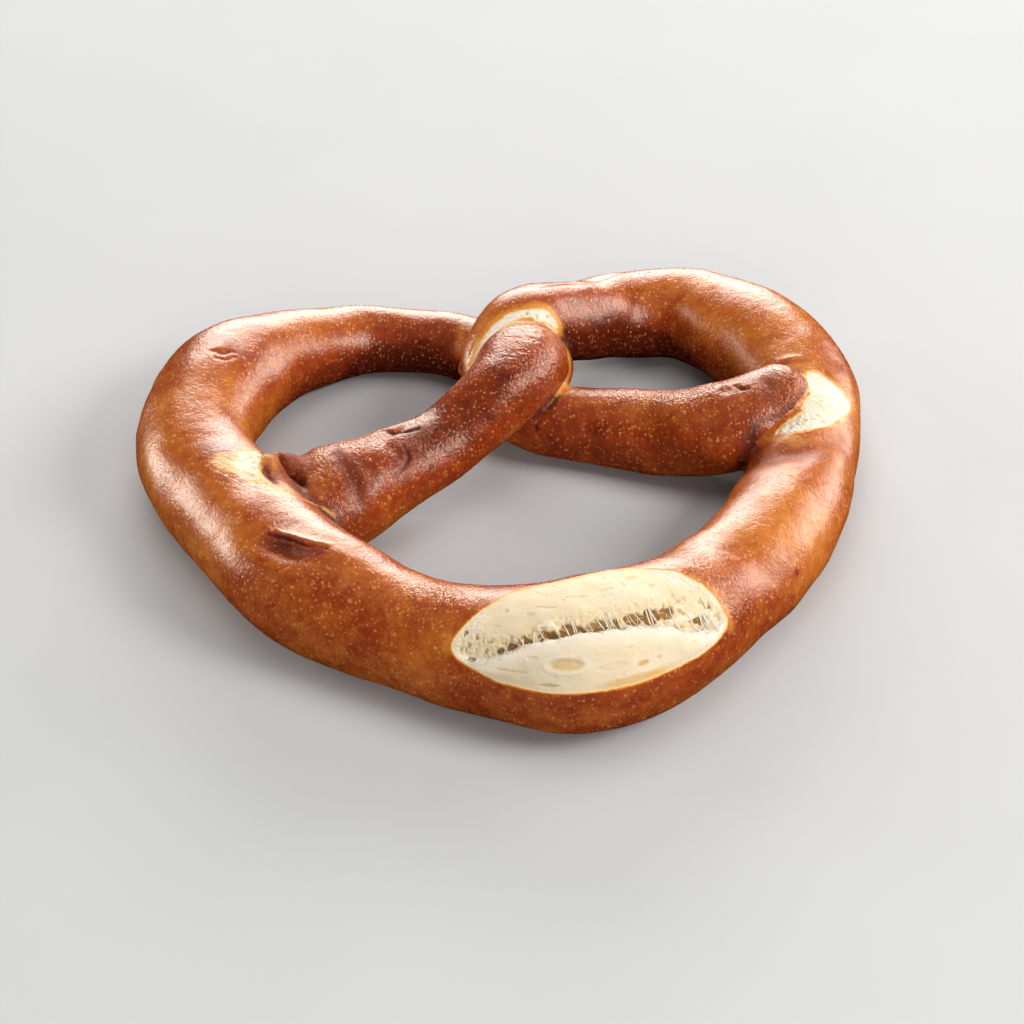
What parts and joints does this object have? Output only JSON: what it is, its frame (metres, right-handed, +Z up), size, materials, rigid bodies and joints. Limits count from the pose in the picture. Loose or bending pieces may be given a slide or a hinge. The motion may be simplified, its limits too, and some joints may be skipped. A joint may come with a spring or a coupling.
{
  "type": "soft pretzel",
  "caption": "Soft lye pretzel baked from one rope of dough: thick belly with a burst crust, slim twisted knot, and arms resting on the ring",
  "frame": {"origin": "middle of the underside of the bounding box, on the surface that the pretzel lies on", "axes": "+X to the right along the widest extent, +Y from the belly towards the knot, +Z up"},
  "size_m": [0.1727, 0.16, 0.0317],
  "materials": {
    "crust": "glossy red-brown lye crust with fine pale blisters",
    "crumb": "matt cream crumb, torn and fibrous"
  },
  "bodies": {
    "root": {"pretzel": "crust"}
  },
  "joints": []
}
